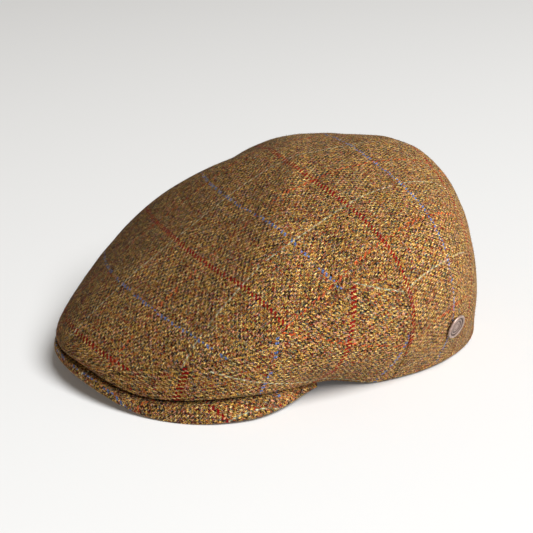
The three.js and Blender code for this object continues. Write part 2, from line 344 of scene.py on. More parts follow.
def thread_arcs():
    """Arc length from the centre line along crosswise threads, by tilt and by distance along."""
    turns = 90 * (1 - np.cos(np.pi * np.linspace(0, 1, TURNS)[1:-1]))
    low = np.linspace(0, LOW_SHARE, LOW_STEPS)[:-1]
    ts = np.concatenate([low, np.linspace(LOW_SHARE, HIGHEST_T, HIGH_STEPS)])
    rings = crown(turns[:, None] + 0 * ts, ts + 0 * turns[:, None])
    below = np.linspace(*UNDER_RIM)[None, :, None] * [0, 0, 1.0]
    rings = np.concatenate([rings[:, :1] + below, rings], 1)
    tilts = tilt_of(rings)
    levels = np.linspace(*TILT_LEVELS)
    marks = np.linspace(-MARK_MARGIN, CENTRE_ALONG[-1] + MARK_MARGIN, MARK_COUNT)
    slices = np.full((len(levels), len(turns), 3), np.nan)
    for i in range(len(turns)):
        known = np.maximum.accumulate(tilts[i, ::-1])
        for axis in range(3):
            slices[:, i, axis] = np.interp(levels, known, rings[i, ::-1, axis], right=np.nan)
    curves = np.zeros((len(levels), len(marks), 3))
    for axis in range(3):
        curves[0, :, axis] = np.interp(marks, CENTRE_ALONG, CENTRE[:, axis])
    for j in range(1, len(levels)):
        known = np.isfinite(slices[j, :, 0])
        if known.sum() < FEWEST_POINTS:
            curves[j] = curves[j - 1]
            continue
        points = slices[j, known]
        along = thread_along(points)
        # A tiny slope keeps equal distances in order.
        along = np.minimum.accumulate(along[::-1])[::-1] + np.arange(len(along)) * 1e-6
        for axis in range(3):
            curves[j, :, axis] = np.interp(marks, along, points[:, axis])
    steps = np.linalg.norm(np.diff(curves, axis=0), axis=2)
    return levels, marks, np.concatenate([np.zeros((1, len(marks))), np.cumsum(steps, axis=0)])


TILTS, MARKS, ARCS = thread_arcs()


def bilinear(x, y, xs, ys, grid):
    """A value between the four nearest entries of a table by x and y."""
    i = np.clip(np.searchsorted(xs, x) - 1, 0, len(xs) - 2)
    j = np.clip(np.searchsorted(ys, y) - 1, 0, len(ys) - 2)
    u = np.clip((x - xs[i]) / (xs[i + 1] - xs[i]), 0, 1)
    v = np.clip((y - ys[j]) / (ys[j + 1] - ys[j]), 0, 1)
    low = grid[i, j] * (1 - u) + grid[i + 1, j] * u
    high = grid[i, j + 1] * (1 - u) + grid[i + 1, j + 1] * u
    return low * (1 - v) + high * v


def top_weave(points):
    """Yarn numbers of the top panel, and the yarns between two lengthwise lines."""
    along = thread_along(points)
    across = np.sign(points[:, 0]) * bilinear(tilt_of(points), along, TILTS, MARKS, ARCS)
    line = (across - CENTRE_LINE_X) / np.interp(along, LINE_GAP["along"], LINE_GAP["gap"])
    row = np.interp(along, ROWS["along"], ROWS["number"])
    return np.stack([line * WARPS, row * WEFTS, np.full(len(points), WARPS)], -1)


def side_weave(points):
    """Yarn numbers of a side panel: straight in the side view, dipping forward."""
    y, z = points[:, 1], points[:, 2]
    along = SIDE_COS * y - SIDE_SIN * z
    up = SIDE_SIN * y + SIDE_COS * z
    bend = SIDE_BEND["amount"] * np.maximum(0, up - SIDE_BEND["above"]) ** 2
    along = along - bend * np.clip((along + SIDE_BEND["behind"]) / SIDE_BEND["fade"], 0, 1)
    line = (up - CENTRE_LINE_X) / SIDE_LINE_GAP * -np.sign(points[:, 0])
    row = (along + SIDE_ROW_START) / SIDE_ROW_GAP
    return np.stack([line * SIDE_WARPS, row * WEFTS, np.full(len(points), SIDE_WARPS)], -1)


# Soft waves of the cloth in millimetres, and the seeds of the crown's and of the peak's.
CROWN_SEED = 11
PEAK_SEED = 5
LONG_WAVES = {"height": 0.28, "count": 7, "longest": 95, "shortest": 45}
SHORT_WAVES = {"height": 0.1, "count": 8, "longest": 26, "shortest": 14}
PEAK_WAVES = {"height": 0.12, "count": 6, "longest": 60, "shortest": 24}
LARGEST_PHASE = 6.283


def wave(points, rng, kind):
    """Soft random relief made of a few sine waves."""
    total = np.zeros(len(points))
    for _ in range(kind["count"]):
        length = kind["shortest"] + (kind["longest"] - kind["shortest"]) * rng.random()
        direction = rng.normal(size=3)
        direction /= np.linalg.norm(direction)
        total += np.sin(points @ direction * (2 * math.pi / length) + rng.random() * LARGEST_PHASE)
    return kind["height"] * (total / math.sqrt(kind["count"] / 2))


def round_edge(distance, radius, depth):
    """Depth of a rounded edge at a distance from it."""
    u = np.clip(1 - np.abs(distance) / radius, 0, 1)
    return depth * (1 - np.sqrt(np.maximum(1 - u * u, 0)))


# Fineness of the crown's mesh: rings up its lower and upper curve, and points round it.
LOW_RINGS = 27
HIGH_RINGS = 78
SPOKES = 432
# The mesh is cut at these distances from the seam, each with the reach of its snap, and from the rim.
SEAM_CUTS = [(0.0, 0.22), (0.35, 0.08), (-0.35, 0.08), (0.8, 0.1), (-0.8, 0.1), (1.5, 0.15), (-1.5, 0.15)]
RIM_CUTS = (0.45, 1.1, 2.0)
RIM_SNAP = 0.12
# Distance from the rim that the top point gets.
TOP_FROM_RIM = 200.0
# Beside the seam the side view's distance is stretched by the cloth's slope, up to a limit.
SEAM_NEAR = 12
LEAST_SLOPE = 0.15


def make_crown():
    """The crown as cut triangles: positions, normals, and distances from the seam and the rim."""
    low = np.linspace(0, LOW_SHARE, LOW_RINGS)[:-1]
    high = LOW_SHARE + (1 - LOW_SHARE) * np.linspace(0, 1, HIGH_RINGS)[:-1]
    ts = np.concatenate([low, high])
    angles = -180 + 360 * np.arange(SPOKES) / SPOKES
    ga, gt = np.meshgrid(angles, ts, indexing="ij")
    angle = ga.ravel()
    t = gt.ravel()
    points = crown(angle, t)
    normals = crown_normal(angle, t)
    steps = np.linalg.norm(np.diff(points.reshape(len(angles), len(ts), 3), axis=1), axis=2)
    rim = np.concatenate([np.zeros((len(angles), 1)), np.cumsum(steps, axis=1)], 1).ravel()
    data = {"p": points, "n": normals, "rim": rim}
    n, m = len(angles), len(ts)
    i, j = np.meshgrid(np.arange(n), np.arange(m - 1), indexing="ij")
    a = (i * m + j).ravel()
    b = (((i + 1) % n) * m + j).ravel()
    c = (((i + 1) % n) * m + j + 1).ravel()
    d = (i * m + j + 1).ravel()
    top = {"p": [[0, TOP_Y, CROWN_RISE]], "n": [[0, 0, 1.0]], "rim": [TOP_FROM_RIM]}
    for name, value in top.items():
        data[name] = np.concatenate([data[name], np.array(value, float)])
    ring = np.arange(n) * m + m - 1
    fan = np.stack([ring, np.roll(ring, -1), np.full(n, n * m)], 1)
    tris = np.concatenate([np.stack([a, b, c], 1), np.stack([a, c, d], 1), fan])
    data["seam"] = seam_distance(data["p"])[0]
    near = np.abs(data["seam"]) < SEAM_NEAR
    gradient = np.zeros((len(near), 3))
    gradient[near, 1:] = seam_distance(data["p"][near])[1]
    steep = (gradient * data["n"]).sum(1)
    data["seam"] = data["seam"] / np.sqrt(np.maximum(1 - steep**2, LEAST_SLOPE))
    for level, snap in SEAM_CUTS:
        data, tris = cut(data, tris, "seam", level, snap)
    for level in RIM_CUTS:
        data, tris = cut(data, tris, "rim", level, RIM_SNAP)
    data["n"] = data["n"] / np.linalg.norm(data["n"], axis=1, keepdims=True)
    return data, tris


# The waves fade out toward the rim within this distance.
CALM = 12
# The seam's groove, the soft ridges beside it, and the turned edge at the rim, in millimetres.
GROOVE_WIDTH = 1.2
GROOVE_DEPTH = 0.6
PUFF = {"height": 0.15, "from_seam": 3.0, "width": 1.8}
HEM_RADIUS = 2.4
HEM_DEPTH = 1.6
# What the turned edge gains toward the front, from this place on and over this length.
HEM_RADIUS_GAIN = 1.6
HEM_DEPTH_GAIN = 1.1
HEM_GAIN_FROM = -20
HEM_GAIN_OVER = 20


def relief(data):
    """How far the cloth stands off the plain form, in millimetres along the normal."""
    rng = np.random.default_rng(CROWN_SEED)
    seam, rim, p = data["seam"], data["rim"], data["p"]
    soft = wave(p, rng, LONG_WAVES) + wave(p, rng, SHORT_WAVES)
    calm = np.clip(rim / CALM, 0, 1)
    groove = round_edge(seam, GROOVE_WIDTH, GROOVE_DEPTH)
    puff = PUFF["height"] * np.exp(-(((np.abs(seam) - PUFF["from_seam"]) / PUFF["width"]) ** 2))
    front = np.clip((HEM_GAIN_FROM - p[:, 1]) / HEM_GAIN_OVER, 0, 1)
    hem = round_edge(rim, HEM_RADIUS + HEM_RADIUS_GAIN * front, HEM_DEPTH + HEM_DEPTH_GAIN * front)
    return soft * calm + puff * calm - groove - hem


AT_RIM = 0.01


def add_shell(name, data, tris, offsets, weave, wall):
    """A closed cloth shell: its outer face, its inner face behind it, and a strip along every edge."""
    used, inverse = np.unique(tris, return_inverse=True)
    tris = inverse.reshape(-1, 3)
    p, n = data["p"][used], data["n"][used]
    outer = p + n * offsets[used][:, None]
    flat = n.copy()
    at_rim = data["rim"][used] < AT_RIM
    flat[at_rim, 2] = 0
    flat /= np.linalg.norm(flat, axis=1, keepdims=True)
    inner = p - flat * wall
    count = len(used)
    edges = np.concatenate([tris[:, [0, 1]], tris[:, [1, 2]], tris[:, [2, 0]]])
    _, first, counts = np.unique(np.sort(edges, 1), axis=0, return_index=True, return_counts=True)
    border = edges[first[counts == 1]]
    near = np.stack([border[:, 1], border[:, 0], border[:, 0] + count], 1)
    far = np.stack([border[:, 1], border[:, 0] + count, border[:, 1] + count], 1)
    faces = np.concatenate([tris, tris[:, ::-1] + count, near, far])
    points = np.concatenate([outer, inner])
    weave = np.concatenate([weave[used], weave[used]])
    return add_mesh(name, to_frame(points), faces, {"weave": weave})


def add_mesh(name, points, faces, extra):
    """A smooth triangle mesh with a vector attribute for each entry of extra."""
    mesh = bpy.data.meshes.new(name)
    mesh.vertices.add(len(points))
    mesh.vertices.foreach_set("co", np.asarray(points, np.float32).ravel())
    mesh.loops.add(len(faces) * 3)
    mesh.loops.foreach_set("vertex_index", np.asarray(faces, np.int32).ravel())
    mesh.polygons.add(len(faces))
    mesh.polygons.foreach_set("loop_start", np.arange(0, len(faces) * 3, 3, dtype=np.int32))
    mesh.polygons.foreach_set("use_smooth", np.ones(len(faces), bool))
    mesh.update(calc_edges=True)
    for key, values in extra.items():
        attribute = mesh.attributes.new(key, "FLOAT_VECTOR", "POINT")
        attribute.data.foreach_set("vector", np.asarray(values, np.float32).ravel())
    mesh.validate()
    obj = bpy.data.objects.new(name, mesh)
    bpy.context.scene.collection.objects.link(obj)
    return obj


def tube_faces(rows, count):
    """Triangles of a tube: rows of points, each a closed ring."""
    i, j = np.meshgrid(np.arange(rows - 1), np.arange(count), indexing="ij")
    a = (i * count + j).ravel()
    b = (i * count + (j + 1) % count).ravel()
    c = b + count
    d = a + count
    return np.concatenate([np.stack([a, b, c], 1), np.stack([a, c, d], 1)])


class Nodes:
    """Short hand for building a node tree."""

    def __init__(self, material):
        material.use_nodes = True
        self.tree = material.node_tree
        self.tree.nodes.clear()

    def new(self, kind, inputs, **settings):
        """A node whose inputs, by name or number, are other nodes' outputs or plain values."""
        node = self.tree.nodes.new(kind)
        for key, value in settings.items():
            setattr(node, key, value)
        for key, value in inputs.items():
            if hasattr(value, "is_output"):
                self.tree.links.new(value, node.inputs[key])
            else:
                node.inputs[key].default_value = value
        return node

    def math(self, operation, a, b=0.0, c=0.0, clamp=False):
        node = self.new("ShaderNodeMath", {0: a, 1: b, 2: c}, operation=operation, use_clamp=clamp)
        return node.outputs[0]

    def times(self, a, b):
        return self.math("MULTIPLY", a, b)

    def mix(self, factor, a, b):
        """Colour a, or colour b where the factor is 1."""
        return self.new("ShaderNodeMix", {0: factor, 6: a, 7: b}, data_type="RGBA").outputs[2]

    def random(self, x, y, z):
        """Three random numbers for a whole-number address."""
        address = self.new("ShaderNodeCombineXYZ", {0: x, 1: y, 2: z}).outputs[0]
        noise = self.new("ShaderNodeTexWhiteNoise", {"Vector": address}, noise_dimensions="3D")
        return self.split(noise.outputs["Color"])

    def split(self, vector):
        return self.new("ShaderNodeSeparateXYZ", {0: vector}).outputs[:3]

    def noise(self, vector, scale, detail, output="Fac"):
        inputs = {"Vector": vector, "Scale": scale, "Detail": detail}
        return self.new("ShaderNodeTexNoise", inputs, noise_dimensions="3D").outputs[output]

    def bump(self, height, strength, distance):
        inputs = {"Height": height, "Strength": strength, "Distance": distance}
        return self.new("ShaderNodeBump", inputs).outputs[0]

    def surface(self, inputs):
        shader = self.new("ShaderNodeBsdfPrincipled", inputs)
        self.new("ShaderNodeOutputMaterial", {0: shader.outputs[0]})

    def ramp(self, value, colours, stepped=True):
        """A colour ramp through equally wide bands, or through equally spaced colours."""
        node = self.new("ShaderNodeValToRGB", {0: value})
        ramp = node.color_ramp
        ramp.interpolation = "CONSTANT" if stepped else "LINEAR"
        spacing = 1 / len(colours) if stepped else 1 / (len(colours) - 1)
        ramp.elements.remove(ramp.elements[1])
        for k, colour in enumerate(colours):
            element = ramp.elements[0] if k == 0 else ramp.elements.new(k * spacing)
            element.color = (*linear(colour), 1)
        return node.outputs[0]


def linear(rgb):
    """sRGB 0..255 to linear 0..1."""
    out = []
    for v in rgb:
        v = v / 255
        out.append(v / 12.92 if v <= 0.04045 else ((v + 0.055) / 1.055) ** 2.4)
    return tuple(out)


# Yarn colours from dark to light. Lengthwise yarns alternate between the two halves of their row.
WARP_COLOURS = [
    (26, 20, 16), (56, 44, 30), (92, 24, 20), (78, 84, 76), (124, 76, 38), (160, 88, 44),
    (196, 150, 68), (212, 171, 86), (160, 134, 58), (204, 140, 106), (230, 196, 122),
]
WEFT_COLOURS = [
    (22, 17, 15), (50, 32, 26), (90, 54, 32), (134, 38, 28),
    (88, 78, 54), (158, 102, 48), (196, 144, 76),
]
SPECK_COLOURS = [
    (18, 14, 14), (108, 24, 24), (78, 112, 120), (128, 72, 38),
    (196, 148, 64), (226, 188, 102), (200, 152, 138), (142, 130, 66),
]
# The check's lines: colour, yarns in a line, odd or even lines, share of floats that show, and strength.
LINES = {
    "pale": {"colour": (190, 190, 160), "yarns": 1, "odd": False, "share": 0.9, "strength": 0.9},
    "orange": {"colour": (200, 84, 44), "yarns": 3, "odd": True, "share": 0.6, "strength": 0.8},
    "blue": {"colour": (96, 120, 176), "yarns": 2, "odd": True, "share": 0.6, "strength": 0.9},
    "red": {"colour": (142, 8, 16), "yarns": 3, "odd": False, "share": 0.92, "strength": 0.95},
}
# The pale line also shows this strongly on the crosswise yarns over it.
PALE_ON_WEFT = 0.45
# How yarns stray: the noise's scale and the reach in yarns. Crosswise yarns stray less, by a share.
STRAY = ((300.0, 1.4), (1700.0, 1.0))
WEFT_STRAY = 0.6
# Every second lengthwise yarn takes its colour from further up the row: start, and spread of both.
SECOND_START = 0.46
COLOUR_SPREAD = 0.58
TUFT_SCALE = 2700.0
TUFT_SHARE = 0.42
TUFT_COVER = 0.85
# The hump of a float, which raises the bump and sets the painted shade: how full it is across and along,
# and the height of a crosswise one.
HUMP_ACROSS = 0.6
HUMP_ALONG = 0.5
WEFT_HEIGHT = 0.85
# Noises of the wool: scale and detail.
FIBRE_NOISE = (2200.0, 3.0)
PATCH_NOISE = (520.0, 2.0)
BROAD_NOISE = (70.0, 3.0)
# What each cause does to the cloth's brightness: its share, and what is always there. The yarns and the
# noises vary the wool's own tone; the hump's entry is painted shade, dark at the floats' edges and ends.
YARN_LIGHT = (0.5, 0.75)
HUMP_PAINTED_SHADE = (0.8, 0.32)
FIBRE_LIGHT = (2.4, -0.1)
PATCH_LIGHT = (1.5, 0.25)
BROAD_LIGHT = (0.6, 0.7)
CLOTH_BUMP_STRENGTH = 0.6
CLOTH_BUMP_METRES = 0.00028
FIBRE_BUMP_SHARE = 0.9
CLOTH_SURFACE = {
    "Roughness": 0.95,
    "Specular IOR Level": 0.06,
    "Sheen Weight": 0.04,
    "Sheen Roughness": 0.5,
    "Sheen Tint": (0.82, 0.9, 0.8, 1),
}


def tweed(name):
    """Heather twill with a woven check, from the yarn numbers on the mesh."""
    material = bpy.data.materials.new(name)
    g = Nodes(material)
    where = g.new("ShaderNodeTexCoord", {}).outputs["Object"]
    i, j, line_yarns = g.split(g.new("ShaderNodeAttribute", {}, attribute_name="weave").outputs["Vector"])
    for scale, reach in STRAY:
        stray_i, stray_j, _ = g.split(g.noise(where, scale, 2.0, "Color"))
        less = reach * WEFT_STRAY
        i = g.math("ADD", i, g.math("MULTIPLY_ADD", stray_i, reach, -reach / 2))
        j = g.math("ADD", j, g.math("MULTIPLY_ADD", stray_j, less, -less / 2))
    fi = g.math("FLOOR", i)
    fj = g.math("FLOOR", j)
    across_i = g.math("FRACT", i)
    across_j = g.math("FRACT", j)
    # Two over, two under: the lengthwise yarn is on top in half of the steps.
    total = g.math("ADD", fi, fj)
    step = g.math("FLOORED_MODULO", total, 4.0)
    group = g.math("FLOOR", g.math("DIVIDE", total, 4.0))
    warp_up = g.math("LESS_THAN", step, 2.0)
    weft_up = g.math("SUBTRACT", 1.0, warp_up)
    warp_pick, warp_shade, warp_gap = g.random(fi, group, 3.0)
    weft_pick, weft_shade, weft_gap = g.random(fj, group, 9.0)
    second = g.math("FLOORED_MODULO", fi, 2.0)
    spread = g.times(warp_pick, COLOUR_SPREAD)
    warp_pick = g.math("MULTIPLY_ADD", second, SECOND_START, spread, clamp=True)
    warp = g.ramp(warp_pick, WARP_COLOURS)
    weft = g.ramp(weft_pick, WEFT_COLOURS)

    def floats(kind, number, value, spacing, gap):
        """1 on the floats of a colour's lines, with a few of them missing."""
        line = LINES[kind]
        near = g.math("ROUND", g.math("DIVIDE", value, spacing))
        off = g.math("SUBTRACT", number, g.times(near, spacing))
        on = g.math("COMPARE", off, (line["yarns"] - 1) / 2, line["yarns"] / 2)
        own = g.math("FLOORED_MODULO", near, 2.0)
        if not line["odd"]:
            own = g.math("SUBTRACT", 1.0, own)
        return g.times(g.times(on, own), g.math("LESS_THAN", gap, line["share"]))

    def dye(yarn, kind, on, strength):
        """A yarn's colour with a line's colour on its floats."""
        return g.mix(g.times(on, strength), yarn, (*linear(LINES[kind]["colour"]), 1))

    pale = floats("pale", fi, i, line_yarns, warp_gap)
    orange = floats("orange", fi, i, line_yarns, warp_gap)
    blue = floats("blue", fj, j, WEFTS, weft_gap)
    red = floats("red", fj, j, WEFTS, weft_gap)
    warp = dye(warp, "orange", orange, LINES["orange"]["strength"])
    warp = dye(warp, "pale", pale, LINES["pale"]["strength"])
    weft = dye(weft, "pale", pale, PALE_ON_WEFT)
    weft = dye(weft, "blue", blue, LINES["blue"]["strength"])
    weft = dye(weft, "red", red, LINES["red"]["strength"])
    colour = g.mix(warp_up, weft, warp)
    # Tufts of other wool between the yarns, hardly any on the lines.
    on_warp = g.times(g.math("MAXIMUM", pale, orange), warp_up)
    on_weft = g.times(g.math("MAXIMUM", blue, red), weft_up)
    off_line = g.math("MULTIPLY_ADD", g.math("MAXIMUM", on_warp, on_weft), -TUFT_COVER, TUFT_COVER)
    tuft = g.new("ShaderNodeTexVoronoi", {"Vector": where, "Scale": TUFT_SCALE}, feature="F1")
    tuft_pick, tuft_share, _ = g.split(tuft.outputs["Color"])
    tuft_on = g.times(g.math("LESS_THAN", tuft_share, TUFT_SHARE), off_line)
    colour = g.mix(tuft_on, colour, g.ramp(tuft_pick, SPECK_COLOURS))
    # Each float is a rounded hump, long over two yarns and one yarn wide. Its height drives the bump and
    # paints shade into the colour at its edges and ends.
    long_warp = g.times(g.math("ADD", step, across_j), 0.5)
    long_weft = g.math("MULTIPLY_ADD", g.math("ADD", step, across_i), 0.5, -1.0)

    def hump(across, along):
        """Height of a float at a place across it and along it."""
        bow = g.math("SINE", g.times(across, math.pi))
        ends = g.math("MAXIMUM", g.math("SINE", g.times(along, math.pi)), 0.0)
        return g.times(g.math("POWER", bow, HUMP_ACROSS), g.math("POWER", ends, HUMP_ALONG))

    warp_hump = g.times(hump(across_i, long_warp), warp_up)
    weft_hump = g.times(hump(across_j, long_weft), weft_up)
    height = g.math("ADD", warp_hump, g.times(weft_hump, WEFT_HEIGHT))
    shade = g.math("ADD", g.times(warp_shade, warp_up), g.times(weft_shade, weft_up))
    fibres = g.noise(where, *FIBRE_NOISE)
    # The colour's brightness: the wool's own tone from yarns and noises, times painted shade where the
    # floats' humps are low.
    light = g.math("MULTIPLY_ADD", shade, *YARN_LIGHT)
    causes = [
        (height, HUMP_PAINTED_SHADE),
        (fibres, FIBRE_LIGHT),
        (g.noise(where, *PATCH_NOISE), PATCH_LIGHT),
        (g.noise(where, *BROAD_NOISE), BROAD_LIGHT),
    ]
    for cause, effect in causes:
        light = g.times(light, g.math("MULTIPLY_ADD", cause, *effect))
    scaled = g.new("ShaderNodeVectorMath", {0: colour, "Scale": light}, operation="SCALE")
    rough = g.math("MULTIPLY_ADD", fibres, FIBRE_BUMP_SHARE, height)
    normal = g.bump(rough, CLOTH_BUMP_STRENGTH, CLOTH_BUMP_METRES)
    g.surface({"Base Color": scaled.outputs[0], "Normal": normal, **CLOTH_SURFACE})
    return material


CLOTH = tweed("tweed_cloth")


def dress(obj, slot_name, material, *nodes):
    """Gives a mesh its material and its body, and hides the parts that it stands for. Its slot name is not
    used.
    """
    obj.data.materials.append(material)
    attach(obj, "root")
    if nodes:
        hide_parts(*nodes)


data, tris = make_crown()
offsets = relief(data)
is_side = data["seam"][tris].mean(1) < 0
left = data["p"][tris][..., 0].mean(1) > 0
side_numbers = side_weave(data["p"])
panels = {
    "top_panel": (tris[~is_side], top_weave(data["p"])),
    "side_panel_left": (tris[is_side & left], side_numbers),
    "side_panel_right": (tris[is_side & ~left], side_numbers),
}
for node, (faces, weave) in panels.items():
    dress(add_shell(node + "_cloth", data, faces, offsets, weave, WALL), "tweed", CLOTH, node)


def brow_reach(angle):
    """Reach of the brow line, an ellipse the size of the head opening."""
    a = np.radians(angle)
    dx = np.sin(a) / HEAD_HALF_WIDTH
    dy = -np.cos(a) / HEAD_HALF_LENGTH
    start = TOP_Y / HEAD_HALF_LENGTH
    aa = dx * dx + dy * dy
    bb = 2 * start * dy
    return (-bb + np.sqrt(bb * bb - 4 * aa * (start * start - 1))) / (2 * aa)


def rounded(corners, rounds):
    """Corner cutting: each pass replaces every inner corner by two points."""
    path = np.array(corners, float)
    for _ in range(rounds):
        near = 0.75 * path[:-1] + 0.25 * path[1:]
        far = 0.25 * path[:-1] + 0.75 * path[1:]
        inner = np.stack([near, far], 1).reshape(-1, 2)
        path = np.concatenate([path[:1], inner[1:-1], path[-1:]])
    return path


# Room that the peak keeps behind its seat, and the length over which its brow line rises.
PEAK_MARGIN = 0.8
BROW_ROOM = 14
BROW_CURVE = 1.6
# The groove under the crown's edge: its depth at most, and as a share of the lip.
DEEPEST_DIP = 1.8
DIP_SHARE = 0.4
GROOVE_START = 2.6
# Height of the lip's inner corner over the underside, as a share of the lip, and its slope's length.
BACK_SHARE = 0.35
BACK_LENGTH = 1.5
BACK_MARGIN = 0.6
TOP_STEPS = 12
BELOW_STEPS = 10


def peak_section(angle):
    """One cut through the peak as reach and height, over the top and back below, and the crown's edge."""
    turn = abs(angle)
    edge = float(column(SECTIONS, "edge", turn)) * FRONT_REACH
    seat = max(0.0, float(column(SECTIONS, "lift", turn))) * CROWN_RISE - PEAK_GAP
    outer = edge + float(column(PEAK, "beyond", turn)) * FRONT_REACH
    inner = min(float(brow_reach(turn)), edge - PEAK_LAP)
    under = max(0.0, float(column(PEAK, "under", turn))) * CROWN_RISE
    lip = min(PEAK_THICKNESS, seat - under)
    outer_top = min(seat, under + lip)
    seat_start = max(inner + PEAK_MARGIN, edge - SEAT_WIDTH)
    room = min(1.0, (seat_start - inner - PEAK_MARGIN) / BROW_ROOM)
    brow = seat + room * max(float(column(PEAK, "brow", turn)) * CROWN_RISE - seat, 0)
    top = []
    for share in np.linspace(0, 1, TOP_STEPS):
        rise = (brow - seat) * (1 - share) ** BROW_CURVE
        top.append((inner + share * (seat_start - inner), seat + rise))
    step = outer - edge
    dip = min(DEEPEST_DIP, DIP_SHARE * lip)
    back_low = under + BACK_SHARE * lip
    wall_back = max(inner + PEAK_MARGIN, min(outer - lip, seat_start))
    bend = max(inner + BACK_MARGIN, wall_back - BACK_LENGTH)
    corners = [
        (seat_start, seat),
        (edge - GROOVE_START, seat - 0.5 * dip),
        (edge + 0.1 * step, seat - dip),
        (edge + 0.3 * step, seat - 0.1 * (seat - outer_top) - 0.5 * dip),
        (edge + 0.68 * step, outer_top + 0.4 * (seat - outer_top)),
        (outer - 0.02 * lip, outer_top - 0.25 * lip),
        (outer + 0.03 * lip, under + 0.4 * lip),
        (outer - 0.1 * lip, under),
        (outer - 0.7 * lip, under),
        (wall_back, min(back_low, seat - lip)),
        (bend, max(back_low, seat - 1.15 * lip)),
    ]
    below = []
    for share in np.linspace(0.1, 1, BELOW_STEPS):
        reach = bend + share * (inner + 0.1 - bend)
        near = max(0.0, (seat_start - reach) / (seat_start - inner))
        below.append((reach, max(back_low, seat - lip + (brow - seat) * near**BROW_CURVE)))
    return np.concatenate([top[:-1], rounded(corners, rounds=3), below]), edge


# The peak's own cloth: where its check lies, and how a crosswise thread leans back away from the middle.
PEAK_LEAN = {"x": [0, 10, 49, 90], "amount": [0, 0, 14, 17]}
PEAK_LINE_GAP = 36.0
PEAK_LINE_X = 24.0
PEAK_ROW_Y = -179.0
PEAK_CUTS = 301
# The peak's waves start this far from the middle and reach their height over this length.
PEAK_CALM = 60
PEAK_FADE = 40


def make_peak():
    """The peak's cloth as one closed mesh through its sections, with its yarn numbers."""
    angles = np.linspace(-TEMPLE, TEMPLE, PEAK_CUTS)
    cuts = [peak_section(angle) for angle in angles]
    rows = np.array([path for path, _ in cuts])
    edges = np.array([edge for _, edge in cuts])[:, None]
    count = rows.shape[1]
    a = np.radians(angles)[:, None]
    reach = rows[..., 0]
    points = np.stack([reach * np.sin(a), TOP_Y - reach * np.cos(a), rows[..., 1]], -1)
    # The cloth laid flat: outward from the crown's edge by the length along the cut.
    steps = np.linalg.norm(np.diff(rows, axis=1), axis=2)
    walked = np.concatenate([np.zeros((len(angles), 1)), np.cumsum(steps, axis=1)], 1)
    at_edge = np.argmin(np.abs(reach[:, : count // 2] - edges), axis=1)
    spread = edges + walked - walked[np.arange(len(angles)), at_edge][:, None]
    flat_x = spread * np.sin(a)
    flat_y = TOP_Y - spread * np.cos(a)
    lean = np.interp(np.abs(flat_x), PEAK_LEAN["x"], PEAK_LEAN["amount"])
    line = (flat_x - PEAK_LINE_X) / PEAK_LINE_GAP
    row = (flat_y - lean - PEAK_ROW_Y) / SIDE_ROW_GAP
    weave = np.stack([line * WARPS, row * WEFTS, np.full(line.shape, WARPS)], -1).reshape(-1, 3)
    points = points.reshape(-1, 3)
    free = np.clip((np.linalg.norm(points[:, :2], axis=1) - PEAK_CALM) / PEAK_FADE, 0, 1)
    points[:, 2] += wave(points, np.random.default_rng(PEAK_SEED), PEAK_WAVES) * free
    points[:, 2] = np.maximum(points[:, 2], 0.0)
    faces = [tube_faces(len(angles), count)]
    for end in (0, len(angles) - 1):
        ring = np.arange(count) + end * count
        centre = len(points)
        points = np.concatenate([points, points[ring].mean(0, keepdims=True)])
        weave = np.concatenate([weave, weave[ring].mean(0, keepdims=True)])
        fan = np.stack([np.full(count, centre), np.roll(ring, -1), ring], 1)
        faces.append(fan if end == 0 else fan[:, ::-1])
    return add_mesh("peak_cloth", to_frame(points), np.concatenate(faces), {"weave": weave})


dress(make_peak(), "tweed", CLOTH, "peak")


METAL_COLOURS = [(126, 104, 98), (168, 144, 134), (214, 196, 186)]
HOLLOW_COLOUR = (62, 48, 42)
# The metal's noises as scale and detail, its roughness as share and start, and its fine relief.
CLOUD_NOISE = (700.0, 4.0)
GRAIN_NOISE = (3200.0, 3.0)
GRAIN_ROUGHNESS = (0.25, 0.3)
METAL_BUMP_STRENGTH = 0.25
METAL_BUMP_METRES = 0.0001
METALLIC = 0.6


def metal(name):
    """Aged pewter with a coppery cast, darker in its hollows."""
    material = bpy.data.materials.new(name)
    g = Nodes(material)
    where = g.new("ShaderNodeTexCoord", {}).outputs["Object"]
    grain = g.noise(where, *GRAIN_NOISE)
    face = g.ramp(g.noise(where, *CLOUD_NOISE), METAL_COLOURS, stepped=False)
    hollow = g.new("ShaderNodeAttribute", {}, attribute_name="hollow").outputs["Fac"]
    settings = {
        "Base Color": g.mix(hollow, face, (*linear(HOLLOW_COLOUR), 1)),
        "Roughness": g.math("MULTIPLY_ADD", grain, *GRAIN_ROUGHNESS),
        "Normal": g.bump(grain, METAL_BUMP_STRENGTH, METAL_BUMP_METRES),
        "Metallic": METALLIC,
    }
    g.surface(settings)
    return material


# The badge's face from the rim inward: distance from the rim, depth under the rim's top, hollow share.
BADGE_FACE = [
    (1.3, 0.25, 0.2),
    (1.6, 0.8, 1.0),
    (2.1, 0.85, 0.9),
    (2.5, 0.5, 0.1),
    (2.9, 0.45, 0.0),
    (3.2, 0.8, 0.9),
    (3.9, 0.85, 0.8),
    (4.3, 0.55, 0.1),
    (4.7, 0.5, 0.0),
    (5.1, 0.75, 0.7),
    (5.8, 0.5, 0.1),
    (6.3, 0.4, 0.0),
]
RIM_ROUND = 0.85
MIDDLE_DEPTH = 0.38
# Room between the cloth and the flange, and the flange's worn edge as reach and height.
FLANGE_ROOM = 0.1
FLANGE_EDGE = (0.4, 0.35)


